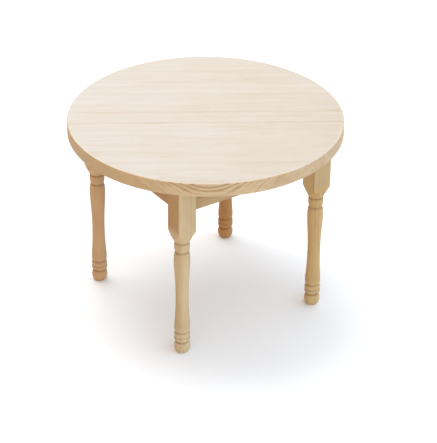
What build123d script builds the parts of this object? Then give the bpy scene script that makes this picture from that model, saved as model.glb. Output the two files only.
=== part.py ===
from build123d import *
import os

# Miniature round dining table at 1:12 scale, millimetres.
# Origin: on the floor, under the middle of the tabletop. +Z is up.
# The aprons run along X and Y. Every piece is wood, and the joints are glued.

# ---- driving dimensions -------------------------------------------------------
top_diameter = 100.0
top_thickness = 5.0
table_height = 74.5
rim_radius = 0.45             # eased edge round the upper face
lower_rim_radius = 0.3

leg_spacing = 58.2            # between leg centre lines, the same along X and Y
block_width = 7.2             # square block at the top of each leg
block_edge = 0.15             # chamfer on the block's long edges

apron_height = 11.5
apron_thickness = 3.0
apron_edge = 0.2              # chamfer on the lower edges

tenon_length = 2.0
tenon_thickness = 1.5
tenon_height = 7.5
glue_gap = 0.05               # round a tenon in its mortise
mortise_end_gap = 0.2

dowel_diameter = 2.0
dowel_in_leg = 5.0
dowel_in_top = 3.0
dowel_end_gap = 0.3           # left for glue above the dowel
dowel_chamfer = 0.2

# ---- derived sizes ------------------------------------------------------------
underside = table_height - top_thickness
leg_offset = leg_spacing / 2
apron_length = leg_spacing - block_width
apron_bottom = underside - apron_height
tenon_middle = apron_bottom + apron_height / 2
turned_stock = 6.0            # radius that clears the corners of the square block

sides = {"left": -1, "right": 1}
ends = {"front": -1, "back": 1}

os.makedirs("parts", exist_ok=True)


def save(name, piece):
    """Label a finished piece and write it to its own file."""
    piece.part.label = name
    export_step(piece.part, f"parts/{name}.step")


# ---- tabletop -----------------------------------------------------------------
def make_tabletop():
    """Solid round panel with an eased rim and four blind dowel holes underneath."""
    with BuildPart() as tabletop:
        with BuildSketch(Plane.XY.offset(underside)):
            Circle(top_diameter / 2)
        extrude(amount=top_thickness)
        rims = tabletop.edges().filter_by(GeomType.CIRCLE).sort_by(Axis.Z)
        fillet(rims[-1], rim_radius)
        fillet(rims[0], lower_rim_radius)
        with BuildSketch(Plane.XY.offset(underside)):
            with GridLocations(leg_spacing, leg_spacing, 2, 2):
                Circle(dowel_diameter / 2)
        extrude(amount=dowel_in_top + dowel_end_gap, mode=Mode.SUBTRACT)
    save("tabletop", tabletop)


# ---- legs ---------------------------------------------------------------------
def leg_outline():
    """Half outline of the turned leg, as radius and height, from the foot up.

    It goes on at the radius of the turning stock past the pommel shoulder, where
    the square block is left standing.
    """
    # Ball foot on a small flat, under a deep groove.
    foot_flat = (2.05, 0.0)
    foot_top = (2.5, 4.2)
    ankle_groove = (2.3, 4.5)
    ThreePointArc(foot_flat, (2.93, 2.3), foot_top)
    Line(foot_top, ankle_groove)
    # Two beads with a fine groove between them.
    lower_bead = (2.6, 4.85)
    middle_groove = (2.64, 6.5)
    upper_bead_end = (2.62, 8.3)
    Line(ankle_groove, lower_bead)
    ThreePointArc(lower_bead, (2.93, 5.65), middle_groove)
    ThreePointArc(middle_groove, (2.93, 7.4), upper_bead_end)
    # Second deep groove, and the round lower end of the shaft.
    shaft_groove = (2.36, 8.65)
    shaft_lip = (2.66, 9.0)
    shaft_start = (2.86, 10.0)
    Line(upper_bead_end, shaft_groove)
    Line(shaft_groove, shaft_lip)
    ThreePointArc(shaft_lip, (2.8, 9.4), shaft_start)
    # Long vase: a slender waist low down, fullest under the neck.
    vase_full = (2.93, 38.0)
    Spline(
        [shaft_start, (2.73, 12.8), (2.43, 18.2), (2.33, 23.5), (2.54, 30.5), vase_full],
        tangents=[(0, 1), (0.02, 1)],
    )
    vase_shoulder = (2.62, 41.75)
    neck_groove = (2.34, 42.2)
    ThreePointArc(vase_full, (2.88, 40.2), vase_shoulder)
    Line(vase_shoulder, neck_groove)
    # Bell-shaped ring, fullest near its upper end.
    ring_start = (2.5, 42.6)
    ring_end = (2.68, 45.8)
    upper_groove = (2.5, 46.1)
    Line(neck_groove, ring_start)
    ThreePointArc(ring_start, (2.81, 44.7), ring_end)
    Line(ring_end, upper_groove)
    # Pommel shoulder: it swells out of the fine groove until the square stock is whole.
    shoulder_start = (2.8, 46.5)
    shoulder_end = (turned_stock, 52.4)
    Line(upper_groove, shoulder_start)
    ThreePointArc(shoulder_start, (4.05, 49.1), shoulder_end)
    stock_top = (turned_stock, underside)
    axis_top = (0.0, underside)
    Polyline(shoulder_end, stock_top, axis_top, (0.0, 0.0), foot_flat)


def make_leg(name, side, end):
    """Leg turned from square stock, mortised for its two aprons and bored for its dowel."""
    x = side * leg_offset
    y = end * leg_offset
    lathe_plane = Plane(origin=(x, y, 0), x_dir=(1, 0, 0), z_dir=(0, -1, 0))
    floor_plane = Plane(origin=(x, y, 0))
    dowel_plane = Plane(origin=(x, y, underside - dowel_in_leg))
    # Mortise sketches lie on the block's two inner faces, and are cut inwards.
    inner_x = Plane(
        origin=(x - side * block_width / 2, y, tenon_middle),
        x_dir=(0, 1, 0),
        z_dir=(side, 0, 0),
    )
    inner_y = Plane(
        origin=(x, y - end * block_width / 2, tenon_middle),
        x_dir=(1, 0, 0),
        z_dir=(0, end, 0),
    )
    mortise_thickness = tenon_thickness + 2 * glue_gap
    mortise_height = tenon_height + 2 * glue_gap
    with BuildPart() as leg:
        with BuildSketch(lathe_plane):
            with BuildLine():
                leg_outline()
            make_face()
        revolve(axis=Axis((x, y, 0), (0, 0, 1)))
        with BuildSketch(floor_plane):
            square = Rectangle(block_width, block_width)
            chamfer(square.vertices(), block_edge)
        extrude(amount=underside, mode=Mode.INTERSECT)
        with BuildSketch(inner_x):
            Rectangle(mortise_thickness, mortise_height)
        extrude(amount=tenon_length + mortise_end_gap, mode=Mode.SUBTRACT)
        with BuildSketch(inner_y):
            Rectangle(mortise_thickness, mortise_height)
        extrude(amount=tenon_length + mortise_end_gap, mode=Mode.SUBTRACT)
        with BuildSketch(dowel_plane):
            Circle(dowel_diameter / 2)
        extrude(amount=dowel_in_leg, mode=Mode.SUBTRACT)
    save(name, leg)


# ---- aprons -------------------------------------------------------------------
def make_apron(name, middle, along):
    """Straight rail with a stub tenon on each end.

    middle is the (x, y) of the rail's centre, and along is the way that it runs.
    """
    across = along.cross(Vector(0, 0, 1))
    rail_plane = Plane(
        origin=(middle[0], middle[1], tenon_middle),
        x_dir=along,
        z_dir=across,
    )
    with BuildPart() as apron:
        with BuildSketch(rail_plane):
            Rectangle(apron_length, apron_height)
        extrude(amount=apron_thickness / 2, both=True)
        lower_edges = apron.edges().group_by(Axis.Z)[0].sort_by(SortBy.LENGTH)[-2:]
        chamfer(lower_edges, apron_edge)
        with BuildSketch(rail_plane):
            Rectangle(apron_length + 2 * tenon_length, tenon_height)
        extrude(amount=tenon_thickness / 2, both=True)
    save(name, apron)


# ---- dowel pins ---------------------------------------------------------------
def make_dowel(name, side, end):
    """Round pin with chamfered ends, half in the leg block and half in the top."""
    base_plane = Plane(
        origin=(side * leg_offset, end * leg_offset, underside - dowel_in_leg)
    )
    with BuildPart() as dowel:
        with BuildSketch(base_plane):
            Circle(dowel_diameter / 2)
        extrude(amount=dowel_in_leg + dowel_in_top)
        chamfer(dowel.edges().filter_by(GeomType.CIRCLE), dowel_chamfer)
    save(name, dowel)


make_tabletop()
for end_name, end in ends.items():
    make_apron(f"apron_{end_name}", (0, end * leg_offset), Vector(1, 0, 0))
    for side_name, side in sides.items():
        corner = f"{end_name}_{side_name}"
        make_leg(f"leg_{corner}", side, end)
        make_dowel(f"dowel_{corner}", side, end)
for side_name, side in sides.items():
    make_apron(f"apron_{side_name}", (side * leg_offset, 0), Vector(0, 1, 0))
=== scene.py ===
"""Looks of the miniature dining table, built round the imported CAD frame. Metres, +Z up."""

import math

import bmesh
import bpy
from mathutils import Matrix, Vector


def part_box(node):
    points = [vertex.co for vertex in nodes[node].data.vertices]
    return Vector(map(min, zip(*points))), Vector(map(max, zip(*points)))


MM = 0.001

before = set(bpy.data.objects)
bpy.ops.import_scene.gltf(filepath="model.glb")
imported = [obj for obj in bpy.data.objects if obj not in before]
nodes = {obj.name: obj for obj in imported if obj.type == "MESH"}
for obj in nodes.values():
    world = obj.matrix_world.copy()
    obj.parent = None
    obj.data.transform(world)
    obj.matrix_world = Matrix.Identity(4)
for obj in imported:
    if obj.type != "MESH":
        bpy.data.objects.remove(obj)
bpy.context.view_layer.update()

# ---- sizes read from the frame ------------------------------------------------
TOP_LOW, TOP_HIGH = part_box("tabletop")
TOP_RADIUS = (TOP_HIGH.x - TOP_LOW.x) / 2
TABLE_HEIGHT = TOP_HIGH.z
LEG_LOW, LEG_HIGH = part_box("leg_front_left")
BLOCK_WIDTH = LEG_HIGH.x - LEG_LOW.x    # the square block is a leg's widest part

# ---- the photograph's viewpoint -----------------------------------------------
VIEW_TURN = math.radians(34.2)      # from the aprons' X axis to the camera's right
VIEW_DOWN = math.radians(30.62)
VIEW_ROLL = math.radians(0.55)
VIEW_DISTANCE = 0.6644              # to the middle of the tabletop, along the view
VIEW_RIGHT = 0.00498                # how far the picture's middle lies from there
VIEW_BELOW = 0.0380
LENS_MM = 149.7
SENSOR_MM = 36.0
NEAREST_SEEN = 0.01
FARTHEST_SEEN = 20

CAMERA_RIGHT = Vector((math.cos(VIEW_TURN), -math.sin(VIEW_TURN), 0))
LEVEL_FORWARD = Vector((math.sin(VIEW_TURN), math.cos(VIEW_TURN), 0))
UP = Vector((0, 0, 1))


def make_camera():
    forward = LEVEL_FORWARD * math.cos(VIEW_DOWN) - UP * math.sin(VIEW_DOWN)
    camera_up = LEVEL_FORWARD * math.sin(VIEW_DOWN) + UP * math.cos(VIEW_DOWN)
    aim = Vector((0, 0, TABLE_HEIGHT)) + CAMERA_RIGHT * VIEW_RIGHT - camera_up * VIEW_BELOW
    camera = bpy.data.objects.new("camera", bpy.data.cameras.new("camera"))
    bpy.context.scene.collection.objects.link(camera)
    turn = Matrix((CAMERA_RIGHT, camera_up, -forward)).transposed().to_4x4()
    roll = Matrix.Rotation(VIEW_ROLL, 4, "Z")
    camera.matrix_world = Matrix.Translation(aim - forward * VIEW_DISTANCE) @ turn @ roll
    camera.data.lens = LENS_MM
    camera.data.sensor_width = SENSOR_MM
    camera.data.clip_start = NEAREST_SEEN
    camera.data.clip_end = FARTHEST_SEEN
    bpy.context.scene.camera = camera


# ---- node helpers -------------------------------------------------------------
class Nodes:
    """Short ways to add and join shader nodes in one material, or in the world."""

    def __init__(self, material):
        self.tree = material.node_tree

    def add(self, kind, **settings):
        node = self.tree.nodes.new(kind)
        for key, value in settings.items():
            setattr(node, key, value)
        return node

    def feed(self, socket, value):
        if isinstance(value, bpy.types.NodeSocket):
            self.tree.links.new(value, socket)
        else:
            socket.default_value = value

    def feed_shader(self, socket, shader):
        self.tree.links.new(shader.outputs[0], socket)

    def math(self, operation, first, second=0.0, third=0.0, clamp=False):
        node = self.add("ShaderNodeMath", operation=operation, use_clamp=clamp)
        for socket, value in zip(node.inputs, (first, second, third)):
            self.feed(socket, value)
        return node.outputs[0]

    def total(self, start, *parts, clamp=False):
        """A starting number plus each value times its weight."""
        for value, weight in parts:
            last = clamp and (value, weight) == parts[-1]
            start = self.math("MULTIPLY_ADD", value, weight, start, clamp=last)
        return start

    def vector(self, operation, first, second=(0, 0, 0)):
        node = self.add("ShaderNodeVectorMath", operation=operation)
        self.feed(node.inputs[0], first)
        self.feed(node.inputs[1], second)
        return node.outputs["Value" if operation in ("LENGTH", "DOT_PRODUCT") else "Vector"]

    def noise(self, vector, scale=1.0, detail=2.0, roughness=0.5):
        node = self.add("ShaderNodeTexNoise")
        self.feed(node.inputs["Vector"], vector)
        self.feed(node.inputs["Scale"], scale)
        self.feed(node.inputs["Detail"], detail)
        self.feed(node.inputs["Roughness"], roughness)
        return node.outputs["Fac"]

    def ramp(self, value, low, high, to_low=0.0, to_high=1.0):
        """Goes smoothly from to_low, where the value is low, to to_high."""
        node = self.add("ShaderNodeMapRange", clamp=True, interpolation_type="SMOOTHSTEP")
        for socket, amount in zip(node.inputs, (value, low, high, to_low, to_high)):
            self.feed(socket, amount)
        return node.outputs["Result"]

    def mix(self, amount, first, second):
        node = self.add("ShaderNodeMix", data_type="RGBA")
        self.feed(node.inputs["Factor"], amount)
        self.feed(node.inputs["A"], first)
        self.feed(node.inputs["B"], second)
        return node.outputs["Result"]


def linear(red, green, blue):
    """An sRGB colour, 0 to 255, as the linear colour that a shader takes."""
    parts = []
    for value in (red, green, blue):
        share = value / 255
        parts.append(share / 12.92 if share <= 0.04045 else ((share + 0.055) / 1.055) ** 2.4)
    return (*parts, 1.0)


def blend(first, second, share):
    """The colour that lies the given share of the way from the first to the second."""
    return tuple(a + (b - a) * share for a, b in zip(first, second))


# ---- wood ---------------------------------------------------------------------
# Inside a wood material lengths are millimetres, measured from the middle of the piece.
# X is turned along the grain, so that noise squeezed in X is drawn out into fibres.
GREY_WOOD = linear(160, 146, 128)
# DARK_WOOD is also the dark end of the painted shade in grooves and on shaded sides.
DARK_WOOD = linear(92, 58, 30)
# Paler wood for rubbed corners and paler feet, and on the tabletop's upper edge also a painted
# highlight.
PALER_WOOD = linear(232, 212, 180)
SEED_STEP = 37.0            # moves each piece to fresh noise

# Waves per millimetre along the grain and across it.
STREAKS = (0.045, 0.42)
LONG_FIBRES = (0.095, 1.3)
FINE_FIBRES = (0.14, 5.5)
BLOTCHES = (0.05, 0.10)
PORES = (0.28, 3.6)
CUT_ENDS = (2.2, 4.5)
RING_WANDER = (0.010, 0.06)
RING_CROWDING = (0.003, 0.25)
RING_FADING = (0.012, 0.22)
LINE_WAVER = (0.03, 0.05)
LINE_BREAKS = (0.06, 0.8)

WANDER_DEPTH = 2.6          # how far a ring strays from round, in millimetres
CROWDING_DEPTH = 2.2        # rings gained or lost where growth was slow or fast
LATE_WOOD_GROWS = (0.30, 0.88)      # shares of a year's ring
LATE_WOOD_ENDS = (0.90, 1.0)
WAVER_DEPTH = 0.9           # the same for a bold line
LINE_REACH = (0.10, 0.75)   # a bold line is dark inside the first and gone at the second
BOLD_LINE_TONE = 0.50
EARLY_WOOD_TONE = 0.30      # where early wood lies between pale and brown
END_GRAIN_SHARE = 0.45      # how far a cut end takes the end grain's colour

# Gloss and relief.
EARLY_WOOD_ROUGHNESS = 0.64
LATE_WOOD_POLISH = 0.12
FIBRE_ROUGHNESS = 0.10
WOOD_SPECULAR = 0.35
RELIEF_STRENGTH = 0.45
RELIEF_DEPTH = 0.05 * MM
LATHE_LINES = (90, 90, 5200)        # waves per metre across the leg and up it


class Grain:
    """How one piece was cut from its tree, and where the piece lies."""

    def __init__(self, node, along, spin, pith, ring_width, seed):
        low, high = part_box(node)
        middle = (low + high) / (2 * MM)
        self.direction = Vector(along).normalized()
        self.pith = pith
        self.ring_width = ring_width
        lay = self.direction.rotation_difference(Vector((1, 0, 0))).to_matrix()
        self.turn = Matrix.Rotation(math.radians(spin), 3, "X") @ lay
        self.shift = Vector((seed * SEED_STEP, 0, 0)) - self.turn @ middle

    def radius_at(self, place):
        """Distance from the pith line to a place given in metres."""
        local = self.turn @ (Vector(place) / MM) + self.shift
        return math.hypot(local.y, local.z + self.pith)


def grain_vector(n, grain, place):
    """The place in millimetres from the middle of the piece, with X along the grain."""
    in_mm = n.vector("MULTIPLY", place, (1 / MM, 1 / MM, 1 / MM))
    mapping = n.add("ShaderNodeMapping", vector_type="POINT")
    n.feed(mapping.inputs["Vector"], in_mm)
    n.feed(mapping.inputs["Location"], grain.shift)
    n.feed(mapping.inputs["Rotation"], grain.turn.to_euler("XYZ"))
    return mapping.outputs["Vector"]


def fibres(n, along, waves, detail=3.0, roughness=0.6):
    """Noise drawn out along the grain, with its waves per millimetre along and across."""
    lengthwise, crosswise = waves
    stretched = n.vector("MULTIPLY", along, (lengthwise, crosswise, crosswise))
    return n.noise(stretched, detail=detail, roughness=roughness)


def growth_rings(n, grain, along):
    """The distance from the pith, and late wood from 0 to 1 in rings round it."""
    across = n.vector("MULTIPLY", along, (0, 1, 1))
    radius = n.vector("LENGTH", n.vector("ADD", across, (0, 0, grain.pith)))
    wander = n.math("SUBTRACT", fibres(n, along, RING_WANDER), 0.5)
    radius = n.total(radius, (wander, WANDER_DEPTH))
    crowding = fibres(n, along, RING_CROWDING, detail=1.0)
    phase = n.total(n.math("DIVIDE", radius, grain.ring_width), (crowding, CROWDING_DEPTH))
    share = n.math("FRACT", phase)
    growing = n.ramp(share, *LATE_WOOD_GROWS)
    late = n.math("MULTIPLY", growing, n.ramp(share, *LATE_WOOD_ENDS, 1.0, 0.0))
    each_year = n.add("ShaderNodeTexWhiteNoise", noise_dimensions="1D")
    n.feed(each_year.inputs["W"], n.math("FLOOR", phase))
    strength = n.ramp(each_year.outputs["Value"], 0.1, 1.0, 0.2, 1.0)
    fading = n.ramp(fibres(n, along, RING_FADING), 0.35, 0.65, 0.15, 1.0)
    strength = n.math("MULTIPLY", strength, fading)
    return radius, n.math("MULTIPLY", late, strength)


def bold_lines(n, grain, along, radius, places):
    """Single dark growth lines that pass through the given places."""
    waver = n.math("SUBTRACT", fibres(n, along, LINE_WAVER), 0.5)
    wavering = n.total(radius, (waver, WAVER_DEPTH))
    broken = n.ramp(fibres(n, along, LINE_BREAKS), 0.35, 0.60, 0.20, 1.0)
    total = 0.0
    for place in places:
        away = n.math("ABSOLUTE", n.math("SUBTRACT", wavering, grain.radius_at(place)))
        total = n.math("ADD", total, n.ramp(away, *LINE_REACH, 1.0, 0.0))
    return n.math("MULTIPLY", total, broken, clamp=True)


def make_wood(
    name,
    grain,
    pale,
    brown,
    ring_tone=0.35,
    fibre_tone=0.9,
    blotch_tone=0.25,
    pore_tone=0.18,
    tip_tone=0.0,
    line_places=(),
    faded_and_sheen_colours=None,
    shaded_side=None,
    paler_places=None,
    groove_dirt_and_shade=None,
    lathe=False,
):
    """Bare sanded wood whose rings, fibres and pores run through the whole piece.

    pale and brown are the early and the late wood. faded_and_sheen_colours are the same two
    on an upper face, which is partly faded wood and partly a painted sheen. The tones say how
    far rings, fibres, blotches and pores go from pale to brown, and tip_tone how much browner
    one end of the board is than its middle. shaded_side is the direction and the colour of a
    side with painted shade, browner than the rest, and its reach. The reach, paler_places and
    groove_dirt_and_shade are functions of the node helper and the place in metres. They give
    from 0 to 1 how strong the painted side shade is, how far a place is made paler (rubbed
    corners, paler feet, and wear with a painted highlight on the tabletop's edge) and how far
    a groove is darkened by dirt and painted shade. lathe adds a turning tool's fine rings.
    """
    material = bpy.data.materials.new(name)
    material.use_nodes = True
    n = Nodes(material)
    shader = n.tree.nodes["Principled BSDF"]
    where = n.add("ShaderNodeTexCoord")
    place = where.outputs["Object"]
    normal = where.outputs["Normal"]
    along = grain_vector(n, grain, place)

    radius, rings = growth_rings(n, grain, along)
    streaks = fibres(n, along, STREAKS, detail=4.0, roughness=0.62)
    long_fibre = fibres(n, along, LONG_FIBRES, detail=4.0, roughness=0.68)
    fine_fibre = fibres(n, along, FINE_FIBRES, detail=2.0)
    blotches = fibres(n, along, BLOTCHES)
    pores = n.ramp(fibres(n, along, PORES, detail=1.0, roughness=0.4), 0.66, 0.78)

    # The tone is 0 where the wood is pale and 1 where it is brown.
    fibre = n.total(-0.5, (long_fibre, 0.36), (fine_fibre, 0.24), (streaks, 0.40))
    blotch = n.ramp(blotches, 0.3, 0.7, -blotch_tone, blotch_tone)
    tone = n.total(EARLY_WOOD_TONE, (rings, ring_tone), (fibre, fibre_tone), (blotch, 1.0))
    if line_places:
        lines = bold_lines(n, grain, along, radius, line_places)
        tone = n.total(tone, (lines, BOLD_LINE_TONE))
    if tip_tone:
        lengthwise = n.vector("DOT_PRODUCT", place, grain.direction / TOP_RADIUS)
        tone = n.total(tone, (lengthwise, tip_tone))
    tone = n.total(tone, (pores, pore_tone), clamp=True)

    colour = n.mix(tone, pale, brown)
    # Upper faces are paler and greyer: partly faded wood and partly a painted sheen.
    if faded_and_sheen_colours is not None:
        up_facing = n.ramp(n.vector("DOT_PRODUCT", normal, UP), 0.45, 0.98)
        colour = n.mix(up_facing, colour, n.mix(tone, *faded_and_sheen_colours))

    # Painted shade: a side that faces the given direction is made browner and darker.
    if shaded_side is not None:
        direction, shade_colour, reach = shaded_side
        towards_side = n.vector("DOT_PRODUCT", normal, direction)
        side_shade = n.ramp(towards_side, 0.25, 0.95, 0.0, 0.9)
        side_shade = n.math("MULTIPLY", side_shade, reach(n, place))
        side = n.mix(tone, shade_colour, blend(shade_colour, DARK_WOOD, 0.35))
        colour = n.mix(side_shade, colour, side)

    # End grain shows the cut ends of the vessels, and is greyer and a little darker.
    facing_end = n.math("ABSOLUTE", n.vector("DOT_PRODUCT", normal, grain.direction))
    end_grain = n.ramp(facing_end, 0.35, 1.0)
    speckle = n.ramp(fibres(n, along, CUT_ENDS, detail=2.0), 0.35, 0.70)
    end_colour = n.mix(speckle, blend(pale, GREY_WOOD, 0.35), blend(brown, GREY_WOOD, 0.30))
    colour = n.mix(n.math("MULTIPLY", end_grain, END_GRAIN_SHARE), colour, end_colour)

    # Paler places: rubbed block corners, paler feet, and on the tabletop's upper edge wear with a
    # painted highlight.
    if paler_places is not None:
        paling = n.math("MULTIPLY", paler_places(n, place), n.ramp(long_fibre, 0.38, 0.62, 0.05, 0.55))
        colour = n.mix(paling, colour, blend(pale, PALER_WOOD, 0.6))
    # Grooves darkened by dirt and by painted shade.
    if groove_dirt_and_shade is not None:
        dirt_and_shade = n.math("MULTIPLY", groove_dirt_and_shade(n, place), n.ramp(blotches, 0.2, 0.7, 0.35, 0.75))
        colour = n.mix(dirt_and_shade, colour, blend(brown, DARK_WOOD, 0.45))
    n.feed(shader.inputs["Base Color"], colour)

    # Dull all over, a little smoother on the hard late wood.
    rough = n.total(EARLY_WOOD_ROUGHNESS, (rings, -LATE_WOOD_POLISH), (fine_fibre, FIBRE_ROUGHNESS))
    n.feed(shader.inputs["Roughness"], rough)
    shader.inputs["Specular IOR Level"].default_value = WOOD_SPECULAR

    # Fibres and late wood stand up a little, and pores sink in.
    height = n.total(0.0, (long_fibre, 0.5), (fine_fibre, 0.5), (pores, -0.7), (rings, 0.3))
    if lathe:
        turning = n.noise(n.vector("MULTIPLY", place, LATHE_LINES), detail=2.0)
        height = n.total(height, (turning, 0.5))
    bump = n.add("ShaderNodeBump")
    bump.inputs["Strength"].default_value = RELIEF_STRENGTH
    bump.inputs["Distance"].default_value = RELIEF_DEPTH
    n.feed(bump.inputs["Height"], height)
    n.feed(shader.inputs["Normal"], bump.outputs["Normal"])
    return material


def dress_node(node_name, material):
    """Give a CAD node its finished material."""
    slots = nodes[node_name].data.materials
    slots.clear()
    slots.append(material)


def height_of(n, place):
    """Height above the floor, in metres."""
    return n.vector("DOT_PRODUCT", place, UP)


def whole_piece(n, place):
    """The reach of a painted side shade that is as strong everywhere."""
    return 1.0


# ---- the tabletop -------------------------------------------------------------
TOP_GRAIN_TURN = math.radians(-32.4)    # from the aprons' X axis to the top's grain
BOLD_LINES_AT = (3.4 * MM, -5.4 * MM)   # on the upper face, from its middle
# The tabletop's rim gets painted shade, browner, on its side that faces this way.
TOP_SHADED_FACING = Vector((-0.971, 0.225, 0))   # left and a little back


def edge_wear_and_highlight(n, place):
    """The paler line along the tabletop's upper edge: rubbed wear and a painted highlight."""
    from_axis = n.vector("LENGTH", n.vector("MULTIPLY", place, (1, 1, 0)))
    outer = n.ramp(from_axis, TOP_RADIUS - 0.9 * MM, TOP_RADIUS - 0.3 * MM)
    upper = n.ramp(height_of(n, place), TABLE_HEIGHT - 0.30 * MM, TABLE_HEIGHT - 0.10 * MM)
    return n.math("MULTIPLY", outer, upper)


def dress_tabletop():
    """One flat-sawn board whose rings climb steeply away from the front."""
    along = Vector((math.cos(TOP_GRAIN_TURN), math.sin(TOP_GRAIN_TURN), 0))
    grain = Grain("tabletop", along, spin=-56, pith=120, ring_width=0.60, seed=3)
    across = UP.cross(along)
    material = make_wood(
        "wood_tabletop",
        grain,
        pale=linear(215, 192, 154),
        brown=linear(152, 108, 64),
        ring_tone=0.60,
        fibre_tone=1.35,
        blotch_tone=0.06,
        pore_tone=0.30,
        tip_tone=0.12,
        line_places=[UP * TABLE_HEIGHT + across * away for away in BOLD_LINES_AT],
        # the upper face's colours: faded wood and a painted sheen
        faded_and_sheen_colours=(linear(201, 196, 187), linear(182, 166, 141)),
        shaded_side=(TOP_SHADED_FACING, linear(186, 154, 105), whole_piece),
        paler_places=edge_wear_and_highlight,
    )
    dress_node("tabletop", material)


# ---- the legs -----------------------------------------------------------------
# The grooves are darkened by dirt and by painted shade.
GROOVES = (                 # height, and how dark
    (4.5 * MM, 0.95),
    (6.5 * MM, 0.30),
    (8.65 * MM, 0.55),
    (42.2 * MM, 0.70),
    (46.1 * MM, 0.75),
)
GROOVE_REACH = 0.75 * MM
BLOCK_FROM = 53.0 * MM      # height of the block's lower end
FOOT_TOP = 9.0 * MM         # height of the foot and its beads
FOOT_FADE = 2.0 * MM
CORNER_REACH = 0.35 * MM
CORNER_RUB = 0.5
SHOULDER = 3.0 * MM         # height of the slope from the turned part to the block


def turned_groove_dirt_and_shade(n, place):
    """Darkening in the turned leg's grooves: dirt, which sanding doesn't reach, and painted shade.
    """
    total = 0.0
    for groove, darkness in GROOVES:
        away = n.math("ABSOLUTE", n.math("SUBTRACT", height_of(n, place), groove))
        total = n.math("ADD", total, n.ramp(away, 0.0, GROOVE_REACH, darkness, 0.0))
    return n.math("MINIMUM", total, 1.0)


def paler_corners_and_foot(x, y, foot_paling):
    """Makes the rubbed block corners, and the paler foot, of the leg that stands at x, y."""

    def paler_places(n, place):
        from_axis = n.vector("ABSOLUTE", n.vector("SUBTRACT", place, (x, y, 0)))
        parts = n.add("ShaderNodeSeparateXYZ")
        n.feed(parts.inputs[0], from_axis)
        nearer = n.math("MINIMUM", parts.outputs["X"], parts.outputs["Y"])
        corner = n.ramp(nearer, BLOCK_WIDTH / 2 - CORNER_REACH, BLOCK_WIDTH / 2, 0.0, CORNER_RUB)
        on_block = n.ramp(parts.outputs["Z"], BLOCK_FROM - SHOULDER / 2, BLOCK_FROM)
        foot = n.ramp(parts.outputs["Z"], FOOT_TOP, FOOT_TOP + FOOT_FADE, foot_paling, 0.0)
        return n.math("ADD", n.math("MULTIPLY", corner, on_block), foot)

    return paler_places


LEFTWARD = Vector((-1, 0, 0))
FRONTWARD = Vector((0, -1, 0))
# Painted shade on some sides of the legs and aprons: its colours, and its strength below the block.
SIDE_SHADE_COLOUR = linear(174, 131, 78)
DULL_SHADE_COLOUR = linear(187, 161, 115)
TURNED_SHARE = 0.28         # how strong such a side is below the block


def mostly_the_block(n, place):
    """Painted side shade: full on the square block, and fainter on the turned part below it."""
    return n.ramp(height_of(n, place), BLOCK_FROM - SHOULDER, BLOCK_FROM, TURNED_SHARE, 1.0)


# Sides with painted shade, browner or duller than the rest of their leg.
LEG_SHADED_SIDES = {
    "front_left": (LEFTWARD, SIDE_SHADE_COLOUR, mostly_the_block),
    "front_right": (FRONTWARD, DULL_SHADE_COLOUR, mostly_the_block),
}

# Each leg was turned from its own stick: spin, pith, ring width, pale, brown and how much paler the
# foot is.
LEG_WOODS = {
    "front_left": (20, 60, 1.3, linear(202, 181, 143), linear(167, 130, 85), 0.95),
    "front_right": (65, 48, 1.1, linear(200, 169, 115), linear(163, 120, 67), 0.65),
    # The back legs' darker, warmer colours are partly their own wood and partly painted shade.
    "back_left": (-35, 55, 1.5, linear(194, 158, 114), linear(160, 114, 70), 0.15),
    "back_right": (110, 42, 1.2, linear(187, 139, 84), linear(153, 98, 49), 0.1),
}


def dress_legs():
    for seed, (corner, wood) in enumerate(LEG_WOODS.items(), start=21):
        node = "leg_" + corner
        spin, pith, ring_width, pale, brown, foot_paling = wood
        low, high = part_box(node)
        middle = (low + high) / 2
        material = make_wood(
            "wood_" + node,
            Grain(node, UP, spin, pith, ring_width, seed),
            pale,
            brown,
            ring_tone=0.40,
            fibre_tone=1.0,
            blotch_tone=0.12,
            shaded_side=LEG_SHADED_SIDES.get(corner),
            paler_places=paler_corners_and_foot(middle.x, middle.y, foot_paling),
            groove_dirt_and_shade=turned_groove_dirt_and_shade,
            lathe=True,
        )
        dress_node(node, material)


# ---- the aprons and the dowel pins --------------------------------------------
APRON_WOODS = {             # spin, pith and ring width
    "front": (10, 70, 1.6),
    "back": (35, 55, 1.4),
    "left": (-20, 62, 1.8),
    "right": (-48, 50, 1.5),
}


def dress_aprons():
    for seed, (side, (spin, pith, ring_width)) in enumerate(APRON_WOODS.items(), start=7):
        node = "apron_" + side
        along = (1, 0, 0) if side in ("front", "back") else (0, 1, 0)
        material = make_wood(
            "wood_" + node,
            Grain(node, along, spin, pith, ring_width, seed),
            pale=linear(187, 157, 117),
            brown=linear(152, 113, 71),
            ring_tone=0.55,
            fibre_tone=1.0,
            blotch_tone=0.2,
            # painted shade on the aprons' left-facing sides
            shaded_side=(LEFTWARD, SIDE_SHADE_COLOUR, whole_piece),
        )
        dress_node(node, material)


def dress_dowels():
    for seed, corner in enumerate(LEG_WOODS, start=12):
        node = "dowel_" + corner
        material = make_wood(
            "wood_" + node,
            Grain(node, UP, spin=seed * 50, pith=30, ring_width=0.9, seed=seed),
            pale=linear(200, 179, 141),
            brown=linear(169, 135, 94),
            fibre_tone=1.0,
        )
        dress_node(node, material)


# ---- floor and light ----------------------------------------------------------
FLOOR_HALF_WIDTH = 4
FLOOR_TINTS = (0.890, 0.922, 0.935, 1), (0.900, 0.932, 0.945, 1)
FLOOR_CLOUDS = 9            # waves per metre
FLOOR_ROUGHNESS = 0.9
FLOOR_SPECULAR = 0.1
WORLD_LEFT = (0.40, 0.20, 0.05, 1)
WORLD_MIDDLE = (0.97, 1.0, 1.05, 1)
WORLD_RIGHT = (0.84, 1.0, 1.20, 1)
WORLD_STRENGTH = 1.32
KEY_PLACE = UP * 1.1 + LEVEL_FORWARD * 0.30 - CAMERA_RIGHT * 0.26
KEY_AIM = UP * 0.04
KEY_SIZE = 0.75
KEY_POWER = 6.2


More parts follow.
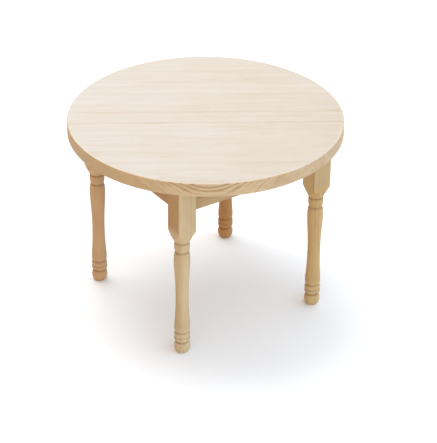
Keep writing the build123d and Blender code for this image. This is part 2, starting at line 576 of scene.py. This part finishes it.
def make_floor():
    mesh = bmesh.new()
    bmesh.ops.create_grid(mesh, x_segments=2, y_segments=2, size=FLOOR_HALF_WIDTH)
    data = bpy.data.meshes.new("floor")
    mesh.to_mesh(data)
    mesh.free()
    floor = bpy.data.objects.new("floor", data)
    bpy.context.scene.collection.objects.link(floor)
    material = bpy.data.materials.new("floor_paper")
    material.use_nodes = True
    n = Nodes(material)
    shader = n.tree.nodes["Principled BSDF"]
    where = n.add("ShaderNodeTexCoord")
    cloud = n.noise(where.outputs["Object"], scale=FLOOR_CLOUDS, detail=3.0)
    n.feed(shader.inputs["Base Color"], n.mix(cloud, *FLOOR_TINTS))
    shader.inputs["Roughness"].default_value = FLOOR_ROUGHNESS
    shader.inputs["Specular IOR Level"].default_value = FLOOR_SPECULAR
    data.materials.append(material)


def make_area_light(name, power, size, place, aim):
    light = bpy.data.lights.new(name, "AREA")
    light.shape = "DISK"
    light.size = size
    light.energy = power
    holder = bpy.data.objects.new(name, light)
    bpy.context.scene.collection.objects.link(holder)
    holder.location = place
    holder.rotation_mode = "QUATERNION"
    holder.rotation_quaternion = (aim - place).to_track_quat("-Z", "Y")


def make_world():
    """Soft light from all round, dim and warm on the left and cooler on the right.

    The camera sees these surroundings as plain white.
    """
    world = bpy.data.worlds.new("studio")
    world.use_nodes = True
    n = Nodes(world)
    where = n.add("ShaderNodeTexCoord")
    towards_right = n.vector("DOT_PRODUCT", where.outputs["Generated"], CAMERA_RIGHT)
    colour = n.mix(n.ramp(towards_right, -0.9, 0.0), WORLD_LEFT, WORLD_MIDDLE)
    colour = n.mix(n.ramp(towards_right, 0.3, 0.9), colour, WORLD_RIGHT)
    background = n.tree.nodes["Background"]
    n.feed(background.inputs["Color"], colour)
    background.inputs["Strength"].default_value = WORLD_STRENGTH
    backdrop = n.add("ShaderNodeBackground")
    backdrop.inputs["Color"].default_value = (1, 1, 1, 1)
    backdrop.inputs["Strength"].default_value = WORLD_STRENGTH
    choose = n.add("ShaderNodeMixShader")
    n.feed(choose.inputs[0], n.add("ShaderNodeLightPath").outputs["Is Camera Ray"])
    n.feed_shader(choose.inputs[1], background)
    n.feed_shader(choose.inputs[2], backdrop)
    n.feed_shader(n.tree.nodes["World Output"].inputs["Surface"], choose)
    bpy.context.scene.world = world


make_camera()
dress_tabletop()
dress_legs()
dress_aprons()
dress_dowels()
make_floor()
make_world()
make_area_light("key", KEY_POWER, KEY_SIZE, KEY_PLACE, KEY_AIM)
bpy.context.scene.view_settings.view_transform = "Standard"
bpy.context.scene.view_settings.look = "None"
